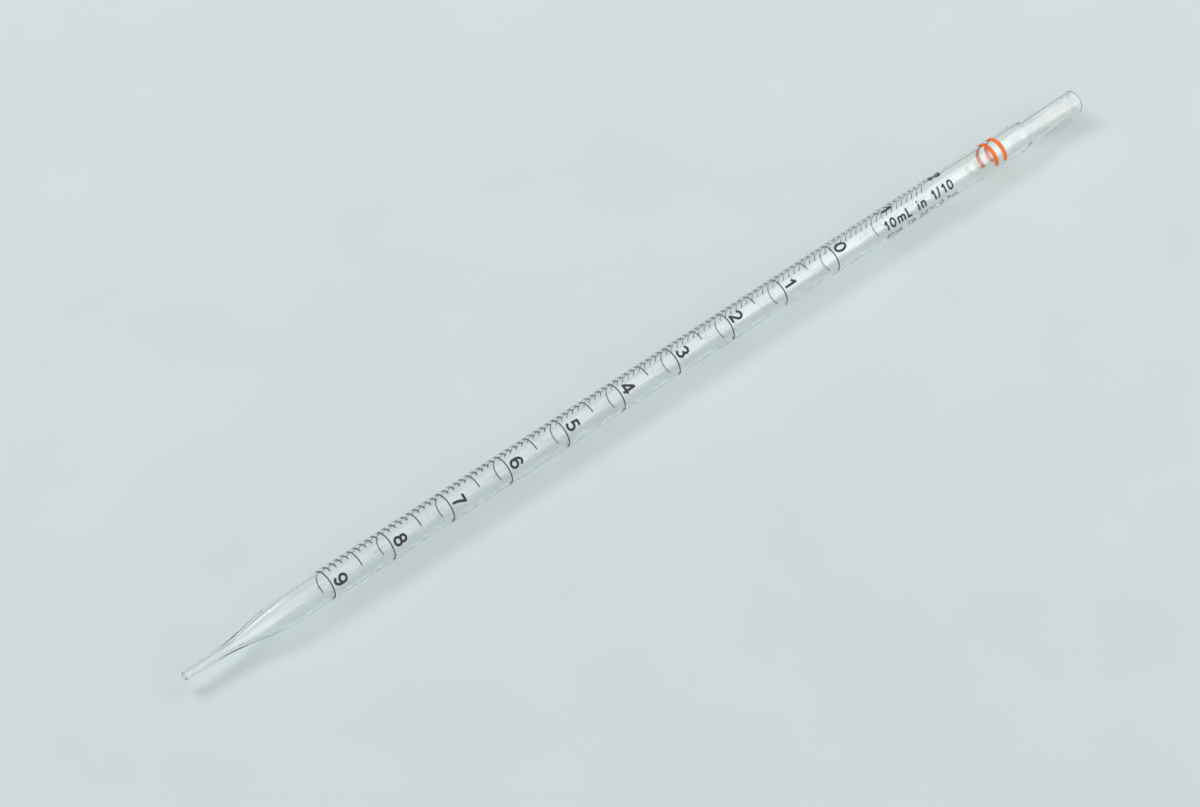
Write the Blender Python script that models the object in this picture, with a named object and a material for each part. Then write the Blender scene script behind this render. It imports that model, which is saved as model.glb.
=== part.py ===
"""A disposable 10 mL graduated (serological) pipette, lying on its side.

The pipette lies along X: its delivery tip points to -X and its mouth to +X. It rests on Z = 0, and
the origin is under the middle of its length. Each piece is turned about the pipette's own axis, so
every outline below is a list of (distance from the tip's end, radius).
"""

import math

import bmesh
import bpy

# Driving dimensions, in metres
LENGTH = 0.350  # tip to mouth
PITCH = 0.0216  # length of barrel that holds one millilitre
WALL = 0.00078  # barrel wall
TIP_JOINT = 0.0298  # where the moulded tip is welded to the barrel
MOUTH_JOINT = 0.3240  # where the mouthpiece is welded to the barrel
WELD_GAP = 0.0003  # clearance left in each butt joint

# Delivery tip
TIP_RADIUS = 0.00134  # outside, at the very end
TIP_DRAFT = 0.012  # how much the slim stem widens per metre of its length
TIP_BORE = 0.00076  # radius of the opening
TIP_WALL = 0.00100  # in the flare
STEM_LENGTH = 0.009  # straight stem before its bore widens
FLARE_START, FLARE_END = 0.0110, 0.0385
RIM_CHAMFER = 0.00015

# Mouthpiece and its plug
MOUTH_RADIUS = 0.00392
MOUTH_WALL = 0.00084
SHOULDER = 0.0046  # length over which the mouthpiece narrows from the barrel's size
PLUG_START, PLUG_END = 0.3346, 0.3470
PLUG_GAP = 0.0003
PLUG_CROWN = 0.0004  # rounding of the plug's ends

SIDES = 32  # flats round each turned piece; one of them faces straight down

MILLILITRE = 1.0e-6
BORE = math.sqrt(MILLILITRE / (math.pi * PITCH))
BARREL_RADIUS = BORE + WALL
MOUTH_BORE = MOUTH_RADIUS - MOUTH_WALL


def clear_scene():
    for ob in list(bpy.data.objects):
        bpy.data.objects.remove(ob, do_unlink=True)


def ease(value, start, end):
    """0 before start, 1 after end, and an S-curve between them."""
    t = min(max((value - start) / (end - start), 0.0), 1.0)
    return t * t * (3 - 2 * t)


def steps(start, end, count):
    """Evenly spaced values from start to end, both included."""
    return [start + (end - start) * i / count for i in range(count + 1)]


def outer_radius(x):
    """Outside of the tip and barrel: a slim stem that flares into the full barrel."""
    stem = TIP_RADIUS + TIP_DRAFT * x
    return stem + (BARREL_RADIUS - stem) * ease(x, FLARE_START, FLARE_END)


def inner_radius(x):
    """Bore of the tip and barrel, with the tip's wall thickest in the flare."""
    if x < STEM_LENGTH:
        return TIP_BORE
    wall = TIP_WALL + (WALL - TIP_WALL) * ease(x, TIP_JOINT, FLARE_END)
    flared = outer_radius(x) - wall
    blend = ease(x, STEM_LENGTH, FLARE_START + STEM_LENGTH)
    return TIP_BORE + (max(flared, TIP_BORE) - TIP_BORE) * blend


def tip_outline():
    end = TIP_JOINT - WELD_GAP / 2
    flare = steps(FLARE_START, end, 12)
    back = steps(end, STEM_LENGTH, 12)
    return (
        [(0.0, TIP_RADIUS - RIM_CHAMFER), (RIM_CHAMFER, TIP_RADIUS)]
        + [(x, outer_radius(x)) for x in flare]
        + [(x, inner_radius(x)) for x in back]
        + [(0.0, TIP_BORE)]
    )


def barrel_outline():
    start = TIP_JOINT + WELD_GAP / 2
    end = MOUTH_JOINT - WELD_GAP / 2
    neck = steps(start, FLARE_END, 6)
    return (
        [(x, outer_radius(x)) for x in neck]
        + [(end, BARREL_RADIUS), (end, BORE)]
        + [(x, inner_radius(x)) for x in reversed(neck)]
    )


def mouthpiece_outline():
    start = MOUTH_JOINT + WELD_GAP / 2
    shoulder = steps(start, start + SHOULDER, 8)

    def narrowing(x, wide, narrow):
        return wide + (narrow - wide) * ease(x, start, start + SHOULDER)

    return (
        [(x, narrowing(x, BARREL_RADIUS, MOUTH_RADIUS)) for x in shoulder]
        + [(LENGTH - RIM_CHAMFER, MOUTH_RADIUS), (LENGTH, MOUTH_RADIUS - RIM_CHAMFER)]
        + [(LENGTH, MOUTH_BORE + RIM_CHAMFER), (LENGTH - RIM_CHAMFER, MOUTH_BORE)]
        + [(x, narrowing(x, BORE, MOUTH_BORE)) for x in reversed(shoulder)]
    )


def plug_outline():
    radius = MOUTH_BORE - PLUG_GAP
    return [
        (PLUG_START, 0.0),
        (PLUG_START, radius - PLUG_CROWN),
        (PLUG_START + PLUG_CROWN, radius),
        (PLUG_END - PLUG_CROWN, radius),
        (PLUG_END, radius - PLUG_CROWN),
        (PLUG_END, 0.0),
    ]


def plastic(name, colour, roughness, transmission=0.0, alpha=1.0):
    material = bpy.data.materials.new(name)
    material.use_nodes = True
    shader = material.node_tree.nodes["Principled BSDF"]
    shader.inputs["Base Color"].default_value = (*colour, 1.0)
    shader.inputs["Roughness"].default_value = roughness
    shader.inputs["Metallic"].default_value = 0.0
    shader.inputs["Transmission Weight"].default_value = transmission
    shader.inputs["Alpha"].default_value = alpha
    material.diffuse_color = (*colour, alpha)
    return material


def turned(name, outline, material, closed=True):
    """Spins an outline about the X axis. The flats, not the edges, lie at the stated radii."""
    bm = bmesh.new()
    to_edge = 1.0 / math.cos(math.pi / SIDES)
    half_flat = math.pi / SIDES
    corners = [
        bm.verts.new((x, -r * to_edge * math.sin(half_flat), -r * to_edge * math.cos(half_flat)))
        for x, r in outline
    ]
    edges = [bm.edges.new(pair) for pair in zip(corners, corners[1:])]
    if closed:
        edges.append(bm.edges.new((corners[-1], corners[0])))
    bmesh.ops.spin(
        bm,
        geom=corners + edges,
        cent=(0.0, 0.0, 0.0),
        axis=(1.0, 0.0, 0.0),
        angle=2 * math.pi,
        steps=SIDES,
    )
    bmesh.ops.remove_doubles(bm, verts=bm.verts, dist=1e-6)
    bmesh.ops.recalc_face_normals(bm, faces=bm.faces)
    mesh = bpy.data.meshes.new(name)
    bm.to_mesh(mesh)
    bm.free()
    mesh.shade_smooth()
    mesh.set_sharp_from_angle(angle=math.radians(40))
    mesh.materials.append(material)
    ob = bpy.data.objects.new(name, mesh)
    bpy.context.scene.collection.objects.link(ob)
    return ob


def build():
    clear_scene()
    axis = bpy.data.objects.new("pipette_axis", None)
    axis.empty_display_size = 0.01
    axis.location = (-LENGTH / 2, 0.0, BARREL_RADIUS)
    bpy.context.scene.collection.objects.link(axis)

    clear = plastic("clear_polystyrene", (0.86, 0.90, 0.90), 0.05, 0.9, 0.45)
    tip_clear = plastic("tip_polystyrene", (0.84, 0.89, 0.90), 0.08, 0.9, 0.45)
    mouth_clear = plastic("mouth_polystyrene", (0.88, 0.91, 0.91), 0.10, 0.9, 0.45)
    fibre = plastic("plug_fibre", (0.92, 0.92, 0.90), 0.95)

    pieces = [
        turned("delivery_tip", tip_outline(), tip_clear),
        turned("graduated_barrel", barrel_outline(), clear),
        turned("mouthpiece", mouthpiece_outline(), mouth_clear),
        turned("filter_plug", plug_outline(), fibre, closed=False),
    ]
    for piece in pieces:
        piece.parent = axis


build()
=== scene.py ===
"""The looks of the graduated pipette: clear moulded and extruded plastic, printed scale, fibre plug.

Lengths are in metres in the part's frame: +X runs from the delivery tip to the mouth, and the
pipette lies on Z = 0. An outline is a list of (distance from the tip's end, radius). The print is
laid out flat, in millimetres along the barrel and round it, and then wrapped round it.
"""

import math
import random

import bmesh
import bpy
from mathutils import Matrix, Vector, geometry, noise


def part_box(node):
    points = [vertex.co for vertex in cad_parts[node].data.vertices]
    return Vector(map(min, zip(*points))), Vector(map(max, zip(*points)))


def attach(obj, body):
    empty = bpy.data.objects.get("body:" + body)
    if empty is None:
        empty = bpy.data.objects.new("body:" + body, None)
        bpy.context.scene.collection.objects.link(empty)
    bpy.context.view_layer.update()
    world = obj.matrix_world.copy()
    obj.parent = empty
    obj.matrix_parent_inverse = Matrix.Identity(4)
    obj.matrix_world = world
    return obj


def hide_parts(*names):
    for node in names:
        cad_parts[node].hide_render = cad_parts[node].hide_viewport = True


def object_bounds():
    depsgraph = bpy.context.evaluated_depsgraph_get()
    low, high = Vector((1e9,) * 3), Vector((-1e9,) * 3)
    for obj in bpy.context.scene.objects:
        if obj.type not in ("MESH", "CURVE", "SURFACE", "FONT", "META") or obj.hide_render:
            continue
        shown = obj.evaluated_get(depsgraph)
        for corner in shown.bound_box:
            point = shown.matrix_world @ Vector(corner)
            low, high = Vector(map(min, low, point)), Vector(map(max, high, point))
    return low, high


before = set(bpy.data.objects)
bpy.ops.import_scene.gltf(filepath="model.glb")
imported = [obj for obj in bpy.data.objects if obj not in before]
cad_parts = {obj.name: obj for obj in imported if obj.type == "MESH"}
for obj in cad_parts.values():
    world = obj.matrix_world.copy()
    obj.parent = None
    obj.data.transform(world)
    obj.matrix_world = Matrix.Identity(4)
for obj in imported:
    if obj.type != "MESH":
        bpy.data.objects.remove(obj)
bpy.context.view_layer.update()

# Places and sizes taken from the frame
tip_low, tip_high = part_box("delivery_tip")
barrel_low, barrel_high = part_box("graduated_barrel")
mouth_low, mouth_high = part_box("mouthpiece")
plug_low, plug_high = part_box("filter_plug")
TIP_X = tip_low.x
LENGTH = mouth_high.x - TIP_X
RADIUS = (barrel_high.z - barrel_low.z) / 2
AXIS_Z = (barrel_high.z + barrel_low.z) / 2
TIP_JOINT = (tip_high.x + barrel_low.x) / 2 - TIP_X
MOUTH_JOINT = (barrel_high.x + mouth_low.x) / 2 - TIP_X
PLUG_START = plug_low.x - TIP_X
PLUG_END = plug_high.x - TIP_X

# Sizes of the mouldings, in metres
MM = 0.001
PITCH = 21.6 * MM  # barrel length that holds one millilitre
BORE = math.sqrt(1e-6 / (math.pi * PITCH))
STEM_RADIUS, STEM_DRAFT = 1.34 * MM, 0.012
STEM_BORE = 0.76 * MM
STEM_LENGTH = 9 * MM
FLARE_START, FLARE_END = 11 * MM, 38.5 * MM
FLARE_WALL = 1.0 * MM
MOUTH_RADIUS, MOUTH_WALL = 3.92 * MM, 0.84 * MM
MOUTH_BORE = MOUTH_RADIUS - MOUTH_WALL
SHOULDER = 4.6 * MM
TIP_RIM, MOUTH_RIM = 0.10 * MM, 0.16 * MM  # rounding of the two open rims
RIM_REACH = 1.1  # how far the frosted face of a rim reaches, in roundings of that rim
BEAD, BEAD_WIDTH = 0.03 * MM, 0.55 * MM  # the weld beads on the outside
INNER_BEAD, INNER_BEAD_WIDTH = 1.6 * BEAD, 0.8 * BEAD_WIDTH  # and in the bore
WELD_LINE = 0.004 * MM  # hairline between two welded pieces
SIDES = 128
CLEAR, FUSED, FROSTED = range(3)  # the material slots of a clear piece

# The printed scale and bands: millimetres from the tip's end, and degrees round from its zero line
FIRST_RING = 48.97  # the ring marked 9
LINE_WIDTH, TICK_WIDTH = 0.38, 0.34
TWIST = 0.15  # degrees round per millimetre along
VIEW_TURN = -35.6  # degrees from straight up to the print's zero line, towards +Y
TICK_SPAN = (32.0, 122.0)
HALF_TICK_SPAN = (-14.5, 122.0)
RING_SPAN = (-103.0, 203.0)
PART_RING_SPAN = (13.0, 185.0)  # the ring one millilitre past zero
LAST_VALUE = -2  # the scale ends with a single line two millilitres past zero
NUMERAL_HEIGHT, NUMERAL_WIDTH, NUMERAL_STROKE = 4.4, 3.0, 0.78
NUMERAL_GAP = 0.95  # from a ring to the foot of its number
NUMERAL_CENTRE = -12.5
BELOW_NUMERAL_CENTRE = 25.0  # for the numbers past zero
BAND_PLACES = (311.0, 314.8)
BAND_SPAN = (-97.6, 174.4)
BAND_WIDTH = 1.5

# Each inscription: its text, its cap height, stroke width and gap between characters in millimetres,
# and its base line in degrees round
INSCRIPTION_START = 263.5
INSCRIPTIONS = {
    "capacity_mark": ("10mL in 1/10", 3.2, 0.62, 0.9, -66.0),
    "calibration_mark": ("10mL TD 20oC 0.1mL", 2.0, 0.24, 0.6, -106.0),
}

# The ink's thickness. It is bonded to the plastic, so its base is a little way in
INK_BASE, INK_TOP = -0.012 * MM, 0.014 * MM
INK_STEP = 3.0  # degrees between the cuts that let the ink bend round the barrel
ROUND_END = (0.35, 0.7, 0.93)  # places of the cuts in a line's rounded end, in parts of its radius
ARC_STEP = 9  # degrees between the points of a character's arcs

# The fibre plug
PLUG_SIDES = 72
PLUG_RADIUS = MOUTH_BORE - 0.10 * MM
PLUG_END_PART = 0.72  # radius of the flat ends, as a part of the plug's
PLUG_ROUNDING = 0.9 * MM  # length over which the plug narrows to them
LUMPS_ALONG, LUMPS_ROUND = 900, 3.2  # how close together its lumps lie
LUMP, FINE_LUMP, TALLEST_LUMP = 0.07 * MM, 0.035 * MM, 0.06 * MM
FINER = 3.1  # how much closer the fine lumps lie
END_LUMP = 0.12 * MM
FIBRE_RADIUS = 0.014 * MM
FIBRE_BENDS = 6
FIBRE_LAYER = MOUTH_BORE - 0.085 * MM  # how far from the axis the side fibres lie
FIBRE_ROOT = 0.1 * MM  # how deep in the plug the end fibres start
SIDE_FIBRES, END_FIBRES = 240, 90


def ease(value, start, end):
    """0 before start, 1 after end, and an S-curve between them."""
    t = min(max((value - start) / (end - start), 0.0), 1.0)
    return t * t * (3 - 2 * t)


def steps(start, end, count):
    return [start + (end - start) * i / count for i in range(count + 1)]


def hump(x, centre, width):
    """A smooth bump of height 1 round centre."""
    return math.exp(-(((x - centre) / width) ** 2))


# Outlines of the clear pieces


def flare_radius(x):
    """Outside of the tip and barrel without the weld bead: a slim stem that flares."""
    stem = STEM_RADIUS + STEM_DRAFT * x
    return stem + (RADIUS - stem) * ease(x, FLARE_START, FLARE_END)


def outer_radius(x):
    return flare_radius(x) + BEAD * hump(x, TIP_JOINT, BEAD_WIDTH)


def inner_radius(x):
    """Bore of the tip and barrel: straight in the stem, then opening with the flare."""
    if x < STEM_LENGTH:
        return STEM_BORE
    barrel_wall = RADIUS - BORE
    wall = FLARE_WALL + (barrel_wall - FLARE_WALL) * ease(x, TIP_JOINT, FLARE_END)
    flared = flare_radius(x) - wall
    blend = ease(x, STEM_LENGTH, FLARE_START + STEM_LENGTH)
    bore = STEM_BORE + (max(flared, STEM_BORE) - STEM_BORE) * blend
    return bore - INNER_BEAD * hump(x, TIP_JOINT, INNER_BEAD_WIDTH)


def narrowing(x, wide, narrow):
    """A radius that narrows over the mouthpiece's shoulder."""
    return wide + (narrow - wide) * ease(x, MOUTH_JOINT, MOUTH_JOINT + SHOULDER)


def mouth_outer(x):
    return narrowing(x, RADIUS, MOUTH_RADIUS) + BEAD * hump(x, MOUTH_JOINT, BEAD_WIDTH)


def mouth_inner(x):
    return narrowing(x, BORE, MOUTH_BORE) - INNER_BEAD * hump(x, MOUTH_JOINT, INNER_BEAD_WIDTH)


def quarter(x, radius, size, start, end):
    """A quarter round of that size, centred at (x, radius), between two angles in degrees."""
    return [
        (x + size * math.cos(math.radians(a)), radius + size * math.sin(math.radians(a)))
        for a in steps(start, end, 5)
    ]


def tip_outline():
    end = TIP_JOINT - WELD_LINE / 2
    bore_edge = TIP_RIM * 0.5
    outer = steps(TIP_RIM * 1.5, STEM_LENGTH, 6) + steps(FLARE_START, end, 40)
    inner = steps(end, STEM_LENGTH, 40)
    return (
        quarter(TIP_RIM, STEM_RADIUS - TIP_RIM, TIP_RIM, 180, 90)
        + [(x, outer_radius(x)) for x in outer]
        + [(x, inner_radius(x)) for x in inner]
        + quarter(bore_edge, STEM_BORE + bore_edge, bore_edge, 270, 180)
    )


def barrel_outline():
    start = TIP_JOINT + WELD_LINE / 2
    end = MOUTH_JOINT - WELD_LINE / 2
    neck = steps(start, FLARE_END, 20)
    far = steps(end - 4 * BEAD_WIDTH, end, 10)
    return (
        [(x, outer_radius(x)) for x in neck]
        + [(x, mouth_outer(x)) for x in far]
        + [(x, mouth_inner(x)) for x in reversed(far)]
        + [(x, inner_radius(x)) for x in reversed(neck)]
    )


def mouth_outline():
    start = MOUTH_JOINT + WELD_LINE / 2
    shoulder = steps(start, MOUTH_JOINT + SHOULDER, 24)
    rim = LENGTH - MOUTH_RIM
    return (
        [(x, mouth_outer(x)) for x in shoulder]
        + quarter(rim, MOUTH_RADIUS - MOUTH_RIM, MOUTH_RIM, 90, 0)
        + quarter(rim, MOUTH_BORE + MOUTH_RIM, MOUTH_RIM, 360, 270)
        + [(x, mouth_inner(x)) for x in reversed(shoulder)]
    )


# Mesh helpers


def on_axis(x, radius, angle):
    """The point at that distance from the tip's end and that angle from straight up, towards +Y."""
    return (
        TIP_X + x,
        radius * math.sin(angle),
        AXIS_Z + radius * math.cos(angle),
    )


def add_object(name, bm, material, smooth=True):
    bmesh.ops.recalc_face_normals(bm, faces=bm.faces)
    mesh = bpy.data.meshes.new(name)
    bm.to_mesh(mesh)
    bm.free()
    if smooth:
        mesh.shade_smooth()
        mesh.set_sharp_from_angle(angle=math.radians(40))
    mesh.materials.append(material)
    piece = bpy.data.objects.new(name, mesh)
    bpy.context.scene.collection.objects.link(piece)
    return piece


def join_rings(bm, ring, after):
    """Four-sided faces between two closed rings of corners."""
    count = len(ring)
    return [
        bm.faces.new((ring[j], ring[(j + 1) % count], after[(j + 1) % count], after[j]))
        for j in range(count)
    ]


def surface_between(start, end):
    """Which material slot a clear piece's surface has between two distances from the tip's end."""
    to_weld = min(abs(start - weld) for weld in (TIP_JOINT, MOUTH_JOINT))
    if start == end and to_weld < WELD_LINE:
        return FUSED
    on_tip_rim = max(start, end) < RIM_REACH * TIP_RIM
    on_mouth_rim = min(start, end) > LENGTH - RIM_REACH * MOUTH_RIM
    return FROSTED if on_tip_rim or on_mouth_rim else CLEAR


def turned(name, outline, clear, fused, frosted):
    """A closed outline turned about the pipette's axis.

    Its ends at the welds let light straight on, and the rim of an open end is frosted.
    """
    bm = bmesh.new()
    angles = [2 * math.pi * j / SIDES for j in range(SIDES)]
    rings = [[bm.verts.new(on_axis(x, r, a)) for a in angles] for x, r in outline]
    corners = zip(outline, outline[1:] + outline[:1])
    for (start, end), ring, after in zip(corners, rings, rings[1:] + rings[:1]):
        for face in join_rings(bm, ring, after):
            face.material_index = surface_between(start[0], end[0])
    piece = add_object(name, bm, clear)
    piece.data.materials.append(fused)
    piece.data.materials.append(frosted)
    return piece


# Printed marks


def print_angle(x_mm, turn):
    """Angle from straight up of a point of the print, in radians. The print winds slowly round."""
    return math.radians(turn + TWIST * (x_mm - FIRST_RING) + VIEW_TURN)


def print_point(x_mm, turn, height):
    return on_axis(x_mm * MM, RADIUS + height, print_angle(x_mm, turn))


def round_mm(turn):
    """Millimetres round the barrel for an angle in degrees."""
    return math.radians(turn) * RADIUS / MM


def add_bar(bm, x_mm, span, width):
    """One printed line round the barrel, with rounded ends."""
    low, high = span
    end = math.degrees(width / 2 * MM / RADIUS)
    count = max(2, round((high - low - 2 * end) / INK_STEP))
    turns = steps(low + end, high - end, count)
    stations = [(turn, 1.0) for turn in turns]
    for part in ROUND_END:
        side = math.sqrt(1 - part * part)
        stations.append((turns[-1] + part * end, side))
        stations.insert(0, (turns[0] - part * end, side))
    loops = []
    for turn, side in stations:
        half = side * width / 2
        loops.append(
            [
                bm.verts.new(print_point(x_mm + offset, turn, height))
                for offset, height in (
                    (-half, INK_BASE),
                    (-half, INK_TOP),
                    (half, INK_TOP),
                    (half, INK_BASE),
                )
            ]
        )
    for section, after in zip(loops, loops[1:]):
        join_rings(bm, section, after)
    bm.faces.new(loops[0])
    bm.faces.new(reversed(loops[-1]))


def arc(across, up, half_width, half_height, start, end):
    """Points of an ellipse's arc between two angles in degrees, counted from its right side."""
    count = max(4, round(abs(end - start) / ARC_STEP))
    return [
        (
            across + half_width * math.cos(math.radians(a)),
            up + half_height * math.sin(math.radians(a)),
        )
        for a in steps(start, end, count)
    ]


def loop(across, up, half_width, half_height):
    return arc(across, up, half_width, half_height, 0, 360)


def turned_over(strokes, width, height):
    """Strokes turned by half a turn in their box."""
    return [[(width - u, height - v) for u, v in points] for points in strokes]


SIX = [
    loop(1.52, 1.42, 1.14, 1.09),
    arc(1.62, 2.2, 1.25, 1.87, 38, 200),
]

# Each character: its width, and the centre lines of its strokes at the height of the numbers
GLYPHS = {
    "0": (3.0, [loop(1.5, 2.2, 1.14, 1.87)]),
    "1": (2.0, [[(1.6, 0.0), (1.6, 4.4)], [(0.42, 3.1), (1.05, 3.4), (1.5, 4.0)]]),
    "2": (
        3.0,
        [
            arc(1.46, 2.95, 1.1, 1.12, 172, -38) + [(1.45, 1.35), (0.62, 0.5), (0.5, 0.2)],
            [(0.28, 0.33), (2.75, 0.33)],
        ],
    ),
    "3": (
        3.0,
        [arc(1.42, 3.16, 0.98, 0.91, 160, -95), arc(1.46, 1.31, 1.14, 0.98, 95, -162)],
    ),
    "4": (
        3.0,
        [[(1.98, 0.0), (1.98, 4.4)], [(1.9, 4.15), (0.0, 1.3)], [(-0.35, 1.18), (2.9, 1.18)]],
    ),
    "5": (
        3.0,
        [
            [(0.56, 4.07), (2.62, 4.07)],
            [(0.95, 4.2), (0.72, 2.05)],
            arc(1.42, 1.45, 1.2, 1.12, 118, -158),
        ],
    ),
    "6": (3.0, SIX),
    "7": (3.0, [[(0.3, 4.07), (2.78, 4.07)], [(2.6, 4.05), (1.9, 2.9), (1.42, 1.5), (1.25, 0.0)]]),
    "8": (3.0, [loop(1.5, 3.2, 0.97, 0.87), loop(1.5, 1.36, 1.15, 1.03)]),
    "9": (3.0, turned_over(SIX, 3.04, NUMERAL_HEIGHT)),
    "m": (
        4.1,
        [
            [(0.35, 0.0), (0.35, 3.05)],
            arc(1.22, 1.95, 0.85, 0.77, 165, 0) + [(2.07, 0.0)],
            arc(2.92, 1.95, 0.85, 0.77, 165, 0) + [(3.77, 0.0)],
        ],
    ),
    "n": (2.5, [[(0.35, 0.0), (0.35, 3.05)], arc(1.25, 1.9, 0.9, 0.82, 165, 0) + [(2.15, 0.0)]]),
    "i": (0.7, [[(0.35, 0.0), (0.35, 3.0)], [(0.35, 3.6), (0.35, 4.3)]]),
    "L": (2.4, [[(0.35, 0.0), (0.35, 4.4)], [(0.35, 0.33), (2.4, 0.33)]]),
    "T": (2.9, [[(0.0, 4.07), (2.9, 4.07)], [(1.45, 4.07), (1.45, 0.0)]]),
    "D": (
        3.1,
        [
            [(0.35, 0.0), (0.35, 4.4)],
            [(0.35, 4.07)] + arc(1.2, 2.2, 1.55, 1.87, 90, -90) + [(0.35, 0.33)],
        ],
    ),
    "C": (3.1, [arc(1.65, 2.2, 1.3, 1.87, 48, 312)]),
    "/": (1.5, [[(0.15, -0.1), (1.35, 4.5)]]),
    ".": (0.8, [[(0.4, 0.0), (0.4, 0.7)]]),
    "o": (1.5, [loop(0.7, 3.7, 0.42, 0.42)]),
    " ": (1.6, []),
}


def stroke_faces(points, width):
    """The stroke's outline as a strip of four-sided faces, mitred where the stroke turns."""
    closed = math.dist(points[0], points[-1]) < 1e-6
    sides = []
    for i, point in enumerate(points):
        before = points[i - 1] if i > 0 else (points[-2] if closed else None)
        after = points[i + 1] if i + 1 < len(points) else (points[1] if closed else None)
        first = Vector(point) - Vector(before) if before else Vector(after) - Vector(point)
        second = Vector(after) - Vector(point) if after else first
        normals = [Vector((-d.y, d.x)).normalized() for d in (first, second)]
        mitre = (normals[0] + normals[1]).normalized()
        reach = width / 2 / max(mitre.dot(normals[0]), 0.5)
        sides.append((Vector(point) - mitre * reach, Vector(point) + mitre * reach))
    return [(a[0], b[0], b[1], a[1]) for a, b in zip(sides, sides[1:])]


def add_text(bm, text, size, width, spacing, lay):
    """Adds a line of characters as thin ink. lay turns (across, up) into (along, round) in mm."""
    scale = size / NUMERAL_HEIGHT
    across = 0.0
    for character in text:
        advance, strokes = GLYPHS[character]
        faces = []
        for points in strokes:
            scaled = [(across + u * scale, v * scale) for u, v in points]
            faces += [[lay(*corner) for corner in face] for face in stroke_faces(scaled, width)]
        if faces:
            add_ink(bm, faces)
        across += advance * scale + spacing


def add_ink(bm, faces):
    """Merges overlapping flat faces, cuts them along the barrel and wraps them round it."""
    corners = [Vector(corner) for face in faces for corner in face]
    indices = [list(range(4 * i, 4 * i + 4)) for i in range(len(faces))]
    step = round_mm(INK_STEP)
    low_along = min(c.x for c in corners) - 1
    high_along = max(c.x for c in corners) + 1
    first = math.floor(min(c.y for c in corners) / step)
    last = math.ceil(max(c.y for c in corners) / step)
    cuts = []
    for i in range(first, last + 1):
        cuts.append((len(corners), len(corners) + 1))
        corners += [Vector((low_along, i * step)), Vector((high_along, i * step))]
    result = geometry.delaunay_2d_cdt(corners, cuts, indices, 0, 1e-4)
    flat, triangles, sources = result[0], result[2], result[5]
    kept = [tri for tri, source in zip(triangles, sources) if source]
    turn_per_mm = math.degrees(MM / RADIUS)
    used = sorted({i for tri in kept for i in tri})
    base, top = (
        {i: bm.verts.new(print_point(flat[i].x, flat[i].y * turn_per_mm, height)) for i in used}
        for height in (INK_BASE, INK_TOP)
    )
    edges = []
    for tri in kept:
        bm.faces.new([top[i] for i in tri])
        bm.faces.new([base[i] for i in reversed(tri)])
        edges += zip(tri, tri[1:] + tri[:1])
    known = set(edges)
    for a, b in edges:
        if (b, a) not in known:
            bm.faces.new((top[b], top[a], base[a], base[b]))


def ring_place(value):
    """Millimetres from the tip's end to the ring for that many millilitres."""
    return FIRST_RING + (9 - value) * PITCH / MM


def ring_span(value):
    if value == LAST_VALUE:
        return TICK_SPAN
    return RING_SPAN if value >= 0 else PART_RING_SPAN


def scale_lines(material):
    """A ring for each millilitre and, on its mouth side, the marks for its tenths."""
    bm = bmesh.new()
    for value in range(9, LAST_VALUE - 1, -1):
        ring = ring_place(value)
        add_bar(bm, ring, ring_span(value), LINE_WIDTH)
        if value == LAST_VALUE:
            break
        for tenth in range(1, 10):
            span = HALF_TICK_SPAN if tenth == 5 and value > 0 else TICK_SPAN
            add_bar(bm, ring + tenth * PITCH / MM / 10, span, TICK_WIDTH)
    return add_object("scale_lines", bm, material)


def numeral(name, text, ring, centre, material):
    """A number that reads with the mouth up, starting a little past its ring."""
    bm = bmesh.new()
    foot = ring + NUMERAL_GAP
    narrower = NUMERAL_WIDTH - GLYPHS[text][0]
    left = round_mm(centre) + NUMERAL_WIDTH / 2

    def lay(across, up):
        return (foot + up, left - narrower - across)

    add_text(bm, text, NUMERAL_HEIGHT, NUMERAL_STROKE, 0.0, lay)
    return add_object(name, bm, material)


def inscription(name, text, size, width, spacing, base_turn, material):
    """A line of text along the barrel, reading towards the mouth."""
    bm = bmesh.new()
    base = round_mm(base_turn)

    def lay(across, up):
        return (INSCRIPTION_START + across, base + up)

    add_text(bm, text, size, width, spacing, lay)
    return add_object(name, bm, material)


def colour_bands(material):
    bm = bmesh.new()
    for centre in BAND_PLACES:
        add_bar(bm, centre, BAND_SPAN, BAND_WIDTH)
    return add_object("colour_bands", bm, material)


# Fibre plug


def plug_radius(x):
    """The plug's radius without its lumps, rounded off towards its two ends."""
    to_end = max(min(x - PLUG_START, PLUG_END - x), 0.0)
    swell = math.sqrt(min(1.0, to_end / PLUG_ROUNDING))
    return PLUG_RADIUS * (PLUG_END_PART + (1 - PLUG_END_PART) * swell)


def plug_lump(x, angle):
    """Height of the plug's surface over that radius."""
    where = Vector((x * LUMPS_ALONG, LUMPS_ROUND * math.cos(angle), LUMPS_ROUND * math.sin(angle)))
    lump = noise.noise(where) * LUMP + noise.noise(where * FINER) * FINE_LUMP
    return min(lump, TALLEST_LUMP)


def close_plug(bm, ring, x, angles):
    """Closes one end of the plug with a slightly bumpy face."""
    outer = ring
    for part in (0.75, 0.5, 0.25):
        inner = []
        for angle in angles:
            bumps = noise.noise(Vector((part * 9, 4 * math.cos(angle), 4 * math.sin(angle))))
            place = on_axis(x + END_LUMP * bumps, PLUG_RADIUS * PLUG_END_PART * part, angle)
            inner.append(bm.verts.new(place))
        join_rings(bm, outer, inner)
        outer = inner
    middle = bm.verts.new(on_axis(x, 0.0, 0.0))
    for corner, following in zip(outer, outer[1:] + outer[:1]):
        bm.faces.new((corner, following, middle))


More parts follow.
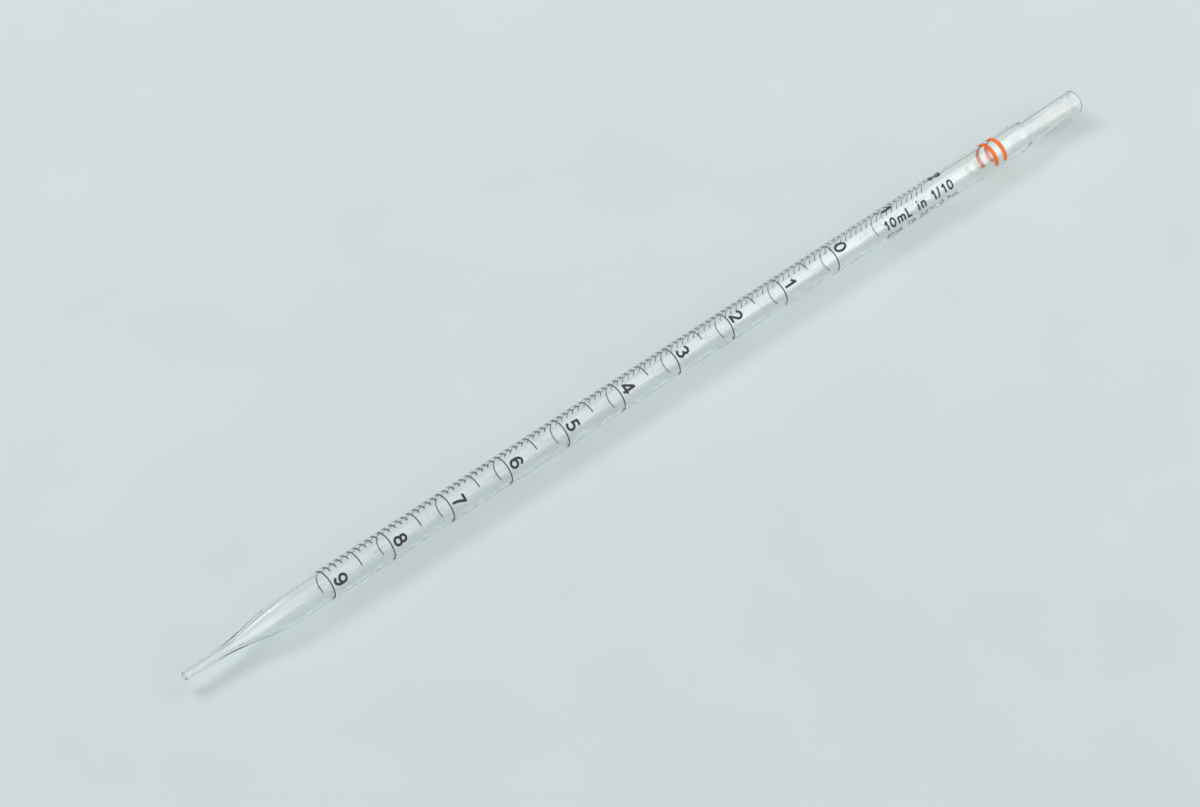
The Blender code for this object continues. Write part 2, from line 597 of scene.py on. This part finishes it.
def plug_body(material):
    """A pressed bundle of fibre: a closed, softly lumpy rod."""
    bm = bmesh.new()
    angles = [2 * math.pi * j / PLUG_SIDES for j in range(PLUG_SIDES)]
    rings = [
        [bm.verts.new(on_axis(x, plug_radius(x) + plug_lump(x, angle), angle)) for angle in angles]
        for x in steps(PLUG_START, PLUG_END, 44)
    ]
    for ring, after in zip(rings, rings[1:]):
        join_rings(bm, ring, after)
    close_plug(bm, rings[0], PLUG_START, angles)
    close_plug(bm, rings[-1], PLUG_END, angles)
    return add_object("fibre_plug", bm, material)


def side_fibre():
    """The points of a fibre that lies along the plug's side."""
    start = random.uniform(PLUG_START, PLUG_END - 2 * MM)
    length = random.uniform(1.5, 5.0) * MM
    angle = random.uniform(0, 2 * math.pi)
    drift = random.uniform(-0.5, 0.5)
    points = []
    for part in steps(0.0, 1.0, FIBRE_BENDS):
        x = min(start + length * part, PLUG_END)
        wander = 0.10 * math.sin(9 * part + angle * 5)
        points.append(on_axis(x, FIBRE_LAYER, angle + drift * part + wander))
    return points


def end_fibre(end, outward):
    """The points of a fibre that curls out of one of the plug's ends and back into it."""
    angle = random.uniform(0, 2 * math.pi)
    reach = random.uniform(0.2, 0.85) * MOUTH_BORE
    turn = random.uniform(0.5, 2.6)
    height = random.uniform(0.15, 0.75) * MM
    points = []
    for part in steps(0.0, 1.0, FIBRE_BENDS):
        out = outward * (height * math.sin(math.pi * part) - FIBRE_ROOT)
        points.append(on_axis(end + out, reach * (1 - 0.55 * part), angle + turn * part))
    return points


def add_spline(curve, points):
    spline = curve.splines.new("NURBS")
    spline.points.add(len(points) - 1)
    for corner, point in zip(spline.points, points):
        corner.co = (*point, 1.0)
    spline.use_endpoint_u = True
    spline.order_u = 3


def plug_fibres(material):
    """Loose fibres on the plug's side and curling out of its two ends."""
    random.seed(11)
    curve = bpy.data.curves.new("plug_fibres", "CURVE")
    curve.dimensions = "3D"
    curve.bevel_depth = FIBRE_RADIUS
    curve.bevel_resolution = 1
    curve.use_fill_caps = True
    curve.resolution_u = 3
    for _ in range(SIDE_FIBRES):
        add_spline(curve, side_fibre())
    for end, outward in ((PLUG_START, -1), (PLUG_END, 1)):
        for _ in range(END_FIBRES):
            add_spline(curve, end_fibre(end, outward))
    curve.materials.append(material)
    piece = bpy.data.objects.new("plug_fibres", curve)
    bpy.context.scene.collection.objects.link(piece)
    return piece


# Materials

POLYSTYRENE_IOR = 1.59

# Each clear piece: its tint, its lowest and highest roughness, how close together its surface lines
# lie on each axis, and how deep they are
CLEAR_LOOKS = {
    "barrel_clear": ((0.985, 0.995, 0.995), (0.0, 0.015), (0.003, 1.2, 1.2), 0.0015 * MM),
    "tip_clear": ((0.98, 0.99, 0.99), (0.01, 0.04), (0.05, 0.5, 0.5), 0.003 * MM),
    "mouth_clear": ((0.98, 0.99, 0.99), (0.01, 0.05), (0.05, 0.6, 0.6), 0.003 * MM),
}
BLACK, THIN_BLACK = (0.006, 0.007, 0.008), (0.02, 0.022, 0.024)
ORANGE, THIN_ORANGE = (0.95, 0.165, 0.004), (0.98, 0.195, 0.008)
ORANGE_LIGHT = (1.0, 0.62, 0.32)  # the colour of light that comes through the orange
GREY_FIBRE, WHITE_FIBRE = (0.80, 0.81, 0.80), (0.95, 0.95, 0.94)
DARK_BENCH, LIGHT_BENCH = (0.498, 0.566, 0.566), (0.514, 0.583, 0.583)

# A Mix node's sockets for colours, which share their names with its sockets for other values
MIX_SHARE, MIX_FIRST, MIX_SECOND, MIX_RESULT = 0, 6, 7, 2


def new_material(name):
    material = bpy.data.materials.new(name)
    material.use_nodes = True
    nodes = material.node_tree.nodes
    return material, nodes, material.node_tree.links, nodes["Principled BSDF"]


def stretched_noise(nodes, links, stretch, scale, detail):
    """Noise on the object's own coordinates in millimetres, stretched along each axis."""
    coordinates = nodes.new("ShaderNodeTexCoord")
    mapping = nodes.new("ShaderNodeMapping")
    mapping.inputs["Scale"].default_value = [part / MM for part in stretch]
    texture = nodes.new("ShaderNodeTexNoise")
    texture.inputs["Scale"].default_value = scale
    texture.inputs["Detail"].default_value = detail
    links.new(coordinates.outputs["Object"], mapping.inputs["Vector"])
    links.new(mapping.outputs["Vector"], texture.inputs["Vector"])
    return texture.outputs["Fac"]


def ranged(nodes, links, value, low, high, start=0.3, end=0.7):
    """Maps a value from start to end onto the range from low to high. Noise fills 0.3 to 0.7."""
    node = nodes.new("ShaderNodeMapRange")
    node.inputs["From Min"].default_value = start
    node.inputs["From Max"].default_value = end
    node.inputs["To Min"].default_value = low
    node.inputs["To Max"].default_value = high
    links.new(value, node.inputs["Value"])
    return node.outputs["Result"]


def product(nodes, links, first, second):
    node = nodes.new("ShaderNodeMath")
    node.operation = "MULTIPLY"
    links.new(first, node.inputs[0])
    links.new(second, node.inputs[1])
    return node.outputs["Value"]


def colour_mix(nodes, links, share, first, second):
    """Goes from the first colour to the second. Each is a colour or another node's output."""
    node = nodes.new("ShaderNodeMix")
    node.data_type = "RGBA"
    links.new(share, node.inputs[MIX_SHARE])
    for index, colour in ((MIX_FIRST, first), (MIX_SECOND, second)):
        if isinstance(colour, tuple):
            node.inputs[index].default_value = (*colour, 1.0)
        else:
            links.new(colour, node.inputs[index])
    return node.outputs[MIX_RESULT]


def bump(nodes, links, shader, height, strength, distance):
    node = nodes.new("ShaderNodeBump")
    node.inputs["Strength"].default_value = strength
    node.inputs["Distance"].default_value = distance
    links.new(height, node.inputs["Height"])
    links.new(node.outputs["Normal"], shader.inputs["Normal"])


def show_through(nodes, links, shader, open_share, tint):
    """Lets part of what is behind show through the surface, in a tint."""
    open_part = nodes.new("ShaderNodeBsdfTransparent")
    open_part.inputs["Color"].default_value = (*tint, 1.0)
    cover = nodes.new("ShaderNodeMixShader")
    links.new(open_share, cover.inputs["Fac"])
    links.new(shader.outputs["BSDF"], cover.inputs[1])
    links.new(open_part.outputs["BSDF"], cover.inputs[2])
    links.new(cover.outputs["Shader"], nodes["Material Output"].inputs["Surface"])


def clear_plastic(name, tint, roughness, stretch, relief):
    """Clear polystyrene with faint flow or die lines in its surface."""
    material, nodes, links, shader = new_material(name)
    shader.inputs["Base Color"].default_value = (*tint, 1.0)
    shader.inputs["Transmission Weight"].default_value = 1.0
    shader.inputs["IOR"].default_value = POLYSTYRENE_IOR
    lines = stretched_noise(nodes, links, stretch, 1.0, 3.0)
    links.new(ranged(nodes, links, lines, *roughness), shader.inputs["Roughness"])
    bump(nodes, links, shader, lines, 0.25, relief)
    return material


def fused_face(name):
    """Where two pieces are welded the plastic is continuous, so light goes straight through."""
    material, nodes, links, shader = new_material(name)
    nodes.remove(shader)
    straight = nodes.new("ShaderNodeBsdfTransparent")
    links.new(straight.outputs["BSDF"], nodes["Material Output"].inputs["Surface"])
    return material


def frosted_rim(name):
    """The open ends are cut or trimmed, so their rims scatter light."""
    material, nodes, links, shader = new_material(name)
    grain = stretched_noise(nodes, links, (1, 1, 1), 6.0, 3.0)
    shader.inputs["Base Color"].default_value = (0.93, 0.95, 0.95, 1.0)
    shader.inputs["Transmission Weight"].default_value = 0.6
    shader.inputs["IOR"].default_value = POLYSTYRENE_IOR
    links.new(ranged(nodes, links, grain, 0.35, 0.55), shader.inputs["Roughness"])
    bump(nodes, links, shader, grain, 0.3, 0.01 * MM)
    return material


def ink(name, colour, thin, roughness, open_share=0.0, tint=(1, 1, 1)):
    """Screen-printed ink: thinner in places and satin. open_share is how see-through it is."""
    material, nodes, links, shader = new_material(name)
    grain = stretched_noise(nodes, links, (1, 1, 1), 7.0, 3.0)
    thinness = ranged(nodes, links, grain, 0.0, 1.0, 0.4, 0.75)
    links.new(colour_mix(nodes, links, thinness, colour, thin), shader.inputs["Base Color"])
    satin = ranged(nodes, links, grain, roughness - 0.08, roughness + 0.08)
    links.new(satin, shader.inputs["Roughness"])
    bump(nodes, links, shader, grain, 0.3, 0.01 * MM)
    if open_share:
        uneven = ranged(nodes, links, grain, 1.1 * open_share, 0.9 * open_share)
        show_through(nodes, links, shader, uneven, tint)
    return material


def fibre(name, open_share):
    """White polyester fibre: matte, streaky along the plug, and see-through between its strands."""
    material, nodes, links, shader = new_material(name)
    streaks = stretched_noise(nodes, links, (0.5, 4.0, 4.0), 1.0, 4.0)
    whiteness = ranged(nodes, links, streaks, 0.0, 1.0)
    colour = colour_mix(nodes, links, whiteness, GREY_FIBRE, WHITE_FIBRE)
    links.new(colour, shader.inputs["Base Color"])
    shader.inputs["Roughness"].default_value = 0.85
    shader.inputs["Sheen Weight"].default_value = 0.3
    shader.inputs["Sheen Roughness"].default_value = 0.5
    bump(nodes, links, shader, streaks, 0.6, 0.08 * MM)
    uneven = ranged(nodes, links, streaks, open_share, 0.8 * open_share)
    show_through(nodes, links, shader, uneven, (1, 1, 1))
    return material


def floor_surface():
    """Pale, glossy bench top."""
    material, nodes, links, shader = new_material("bench_top")
    cloud = stretched_noise(nodes, links, (0.02, 0.02, 0.02), 1.0, 2.0)
    share = ranged(nodes, links, cloud, 0.0, 1.0)
    colour = colour_mix(nodes, links, share, DARK_BENCH, LIGHT_BENCH)
    links.new(colour, shader.inputs["Base Color"])
    shader.inputs["Roughness"].default_value = 0.5
    shader.inputs["IOR"].default_value = 1.5
    shader.inputs["Specular IOR Level"].default_value = 0.2
    return material


# Stage, light and camera

# Each lamp: the way to it from the pipette, its distance, its size along and across, its power, and
# how much of its length fades at the tip's end and at the mouth's end
LAMPS = {
    "mouth_softbox": ((0.733, -0.267, 0.625), 1.31, (1.10, 1.50), 7.0, (0.30, 0.02)),
    "far_strip": ((-0.15, 0.69, 0.69), 2.6, (1.95, 1.00), 50.0, (0.10, 0.60)),
}
# The dome's colour, its colour on the near side and its colour low on the far side
DOME, NEAR_SIDE, FAR_SIDE = (0.72, 0.72, 0.72), (1.3, 1.3, 1.3), (0.13, 0.22, 0.23)
# Where those sides begin and end, as a part of a unit length along Y or Z
NEAR_FADE, FAR_FADE, LOW_FADE = (-0.85, -0.45), (0.25, 0.75), (0.10, 0.55)

FLOOR_RADIUS, FLOOR_SIDES = 4.0, 96
CAMERA_PLACE = (-0.54415, -0.57992, 0.81416)
CAMERA_TARGET = (-0.02263, 0.00123, 0.00462)
FOCAL_LENGTH, SENSOR_WIDTH = 116.7, 36.0


def add_stage():
    bm = bmesh.new()
    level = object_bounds()[0].z
    angles = [2 * math.pi * i / FLOOR_SIDES for i in range(FLOOR_SIDES)]
    corners = [(FLOOR_RADIUS * math.cos(a), FLOOR_RADIUS * math.sin(a), level) for a in angles]
    bm.faces.new([bm.verts.new(corner) for corner in corners])
    floor = add_object("bench", bm, floor_surface(), smooth=False)


def softbox(name, way, distance, size, power, fades):
    """A rectangular lamp that faces the pipette, lined up along it and faded towards its ends."""
    lamp = bpy.data.lights.new(name, "AREA")
    lamp.shape = "RECTANGLE"
    lamp.size, lamp.size_y = size
    lamp.energy = power
    lamp.use_nodes = True
    nodes, links = lamp.node_tree.nodes, lamp.node_tree.links
    spot = nodes.new("ShaderNodeNewGeometry")
    split = nodes.new("ShaderNodeSeparateXYZ")
    links.new(spot.outputs["Parametric"], split.inputs["Vector"])
    rise = ranged(nodes, links, split.outputs["X"], 0.0, 1.0, 0.0, fades[0])
    fall = ranged(nodes, links, split.outputs["X"], 1.0, 0.0, 1.0 - fades[1], 1.0)
    links.new(product(nodes, links, rise, fall), nodes["Emission"].inputs["Strength"])
    back = Vector(way).normalized()
    along = (Vector((1, 0, 0)) - back * back.x).normalized()
    turn = Matrix((along, back.cross(along), back)).transposed()
    holder = bpy.data.objects.new(name, lamp)
    holder.location = back * distance
    holder.rotation_euler = turn.to_euler()
    bpy.context.scene.collection.objects.link(holder)


def add_lights():
    """A soft dome, brighter on the near side and dark low on the far side, and two lamps."""
    for name, lamp in LAMPS.items():
        softbox(name, *lamp)
    world = bpy.data.worlds.new("studio")
    bpy.context.scene.world = world
    world.use_nodes = True
    nodes, links = world.node_tree.nodes, world.node_tree.links
    way = nodes.new("ShaderNodeTexCoord")
    split = nodes.new("ShaderNodeSeparateXYZ")
    links.new(way.outputs["Generated"], split.inputs["Vector"])
    near = ranged(nodes, links, split.outputs["Y"], 1.0, 0.0, *NEAR_FADE)
    low = ranged(nodes, links, split.outputs["Z"], 1.0, 0.0, *LOW_FADE)
    far = ranged(nodes, links, split.outputs["Y"], 0.0, 1.0, *FAR_FADE)
    dome = colour_mix(nodes, links, near, DOME, NEAR_SIDE)
    dome = colour_mix(nodes, links, product(nodes, links, low, far), dome, FAR_SIDE)
    links.new(dome, nodes["Background"].inputs["Color"])
    nodes["Background"].inputs["Strength"].default_value = 1.0


def add_camera():
    """At the photograph's angle: 46 degrees above the bench, the pipette rising to the right."""
    lens = bpy.data.cameras.new("camera")
    lens.lens = FOCAL_LENGTH
    lens.sensor_width = SENSOR_WIDTH
    lens.clip_start = 0.01
    camera = bpy.data.objects.new("camera", lens)
    camera.location = CAMERA_PLACE
    view = Vector(CAMERA_TARGET) - Vector(CAMERA_PLACE)
    camera.rotation_euler = view.to_track_quat("-Z", "Y").to_euler()
    bpy.context.scene.collection.objects.link(camera)
    bpy.context.scene.camera = camera


def register(piece, slot, *nodes):
    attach(piece, "root")
    if nodes:
        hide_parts(*nodes)


def add_clear_pieces():
    barrel, tip, mouth = (clear_plastic(name, *look) for name, look in CLEAR_LOOKS.items())
    ends = (fused_face("fused_face"), frosted_rim("frosted_rim"))
    tip_piece = turned("tip_moulding", tip_outline(), tip, *ends)
    register(tip_piece, "tip_polystyrene", "delivery_tip")
    barrel_piece = turned("barrel_tube", barrel_outline(), barrel, *ends)
    register(barrel_piece, "clear_polystyrene", "graduated_barrel")
    mouth_piece = turned("mouth_moulding", mouth_outline(), mouth, *ends)
    register(mouth_piece, "mouth_polystyrene", "mouthpiece")


def add_plug():
    register(plug_body(fibre("fibre_bundle", 0.93)), "plug_fibre", "filter_plug")
    register(plug_fibres(fibre("single_fibre", 0.35)), "plug_fibre")


def add_print():
    black = ink("scale_ink", BLACK, THIN_BLACK, 0.38)
    register(scale_lines(black), "scale_ink")
    for value in range(10):
        name = f"numeral_{value}"
        mark = numeral(name, str(value), ring_place(value), NUMERAL_CENTRE, black)
        register(mark, "scale_ink")
    for value in (1, 2):
        name = f"numeral_below_{value}"
        mark = numeral(name, str(value), ring_place(-value), BELOW_NUMERAL_CENTRE, black)
        register(mark, "scale_ink")
    for name, look in INSCRIPTIONS.items():
        register(inscription(name, *look, black), "scale_ink")
    orange = ink("band_ink", ORANGE, THIN_ORANGE, 0.4, 0.5, ORANGE_LIGHT)
    register(colour_bands(orange), "band_ink")


add_camera()
add_clear_pieces()
add_plug()
add_print()
add_stage()
add_lights()
bpy.context.scene.view_settings.view_transform = "Standard"
# Cycles blurs glass that is seen after a diffuse bounce, which darkens clear plastic and its shadow
bpy.context.scene.cycles.blur_glossy = 0.0
